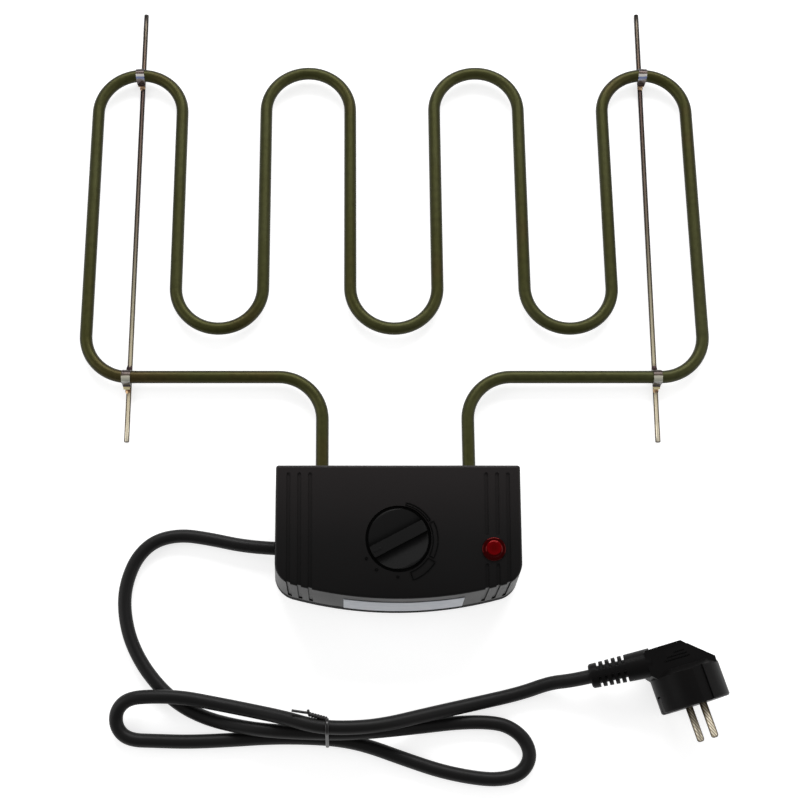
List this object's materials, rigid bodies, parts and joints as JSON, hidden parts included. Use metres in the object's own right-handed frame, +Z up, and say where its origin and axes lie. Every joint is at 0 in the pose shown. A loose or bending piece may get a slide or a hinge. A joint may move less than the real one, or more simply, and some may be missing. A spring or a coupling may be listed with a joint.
{
  "type": "electric smoker heating unit",
  "caption": "Serpentine heating element on two support rods, with a thermostat box, round dial, pilot lamp and a tied mains cord with plug.",
  "frame": {"origin": "middle of the unit's footprint on the surface it lies on, without the cord", "axes": "+X to the right as one faces the control box, +Y from the control box towards the element, +Z up"},
  "size_m": [0.3714, 0.4764, 0.0496],
  "materials": {
    "black_abs": "moulded, satin",
    "knob_abs": "moulded, satin",
    "oxidised_steel": "olive heat-oxidised sheath, satin",
    "annealed_wire": "heat-tinted wire",
    "welded_strap": "bare strap with heat tint",
    "zinc_steel": "zinc plated",
    "nickel_brass": "plain",
    "steatite": "unglazed ceramic",
    "silicone_seal": "moulded seal",
    "bimetal": "rolled strip",
    "lamp_red": "moulded lens",
    "lamp_glass": "clear",
    "lamp_cap": "moulded cap",
    "label_foil": "bare satin foil",
    "cord_rubber": "extruded, matt",
    "plug_rubber": "moulded, matt",
    "plug_pin": "worn plating",
    "tie_paper": "coated wire",
    "core_brown": "extruded insulation",
    "core_blue": "extruded insulation",
    "core_green_yellow": "extruded insulation",
    "core_black": "extruded insulation"
  },
  "bodies": {
    "heater_unit": {"upper_housing": "black_abs", "lower_housing": "black_abs", "housing_screws": "zinc_steel", "rating_plate": "label_foil", "heating_tube": "oxidised_steel", "end_seals": "silicone_seal", "terminal_pins": "nickel_brass", "heater_receptacles": "nickel_brass", "tube_clamp": "zinc_steel", "clamp_screws": "zinc_steel", "earth_terminal": "nickel_brass", "earth_screw": "nickel_brass", "support_rod_left": "annealed_wire", "support_rod_right": "annealed_wire", "rod_clip_rear_left": "welded_strap", "rod_clip_rear_right": "welded_strap", "rod_clip_front_left": "welded_strap", "rod_clip_front_right": "welded_strap", "cord_clamp": "black_abs", "cord_clamp_screws": "zinc_steel", "thermostat_bracket": "zinc_steel", "bracket_screws": "zinc_steel", "spindle_bush": "nickel_brass", "ceramic_washers": "steatite", "stack_rivet": "zinc_steel", "blade_root": "nickel_brass", "fixed_contact": "nickel_brass", "bimetal_strip": "bimetal", "bimetal_pin": "steatite", "thermostat_receptacles": "nickel_brass", "lamp_lens": "lamp_red", "lamp_retainer": "zinc_steel", "neon_bulb": "lamp_glass", "lamp_base": "lamp_cap", "neutral_core": "core_blue", "earth_core": "core_green_yellow", "live_core": "core_brown", "switched_core": "core_black", "mains_cord": "cord_rubber", "plug_body": "plug_rubber", "plug_pins": "plug_pin", "plug_earth_contacts": "zinc_steel", "twist_tie": "tie_paper"},
    "dial": {"knob": "knob_abs", "spindle": "zinc_steel"},
    "switch_blade": {"contact_blade": "nickel_brass"}
  },
  "joints": [
    {"name": "dial_turn", "type": "hinge", "parent": "heater_unit", "child": "dial", "pos_m": [0, -0.1576, 0.04388], "axis": [0, 0.1483, -0.9889], "range_deg": [0, 275]},
    {"name": "blade_press", "type": "hinge", "parent": "heater_unit", "child": "switch_blade", "pos_m": [0.015, -0.15386, 0.01896], "axis": [0, -0.9889, -0.1483], "range_deg": [0, 1.2], "stiffness_Nm_per_rad": 0.02}
  ]
}
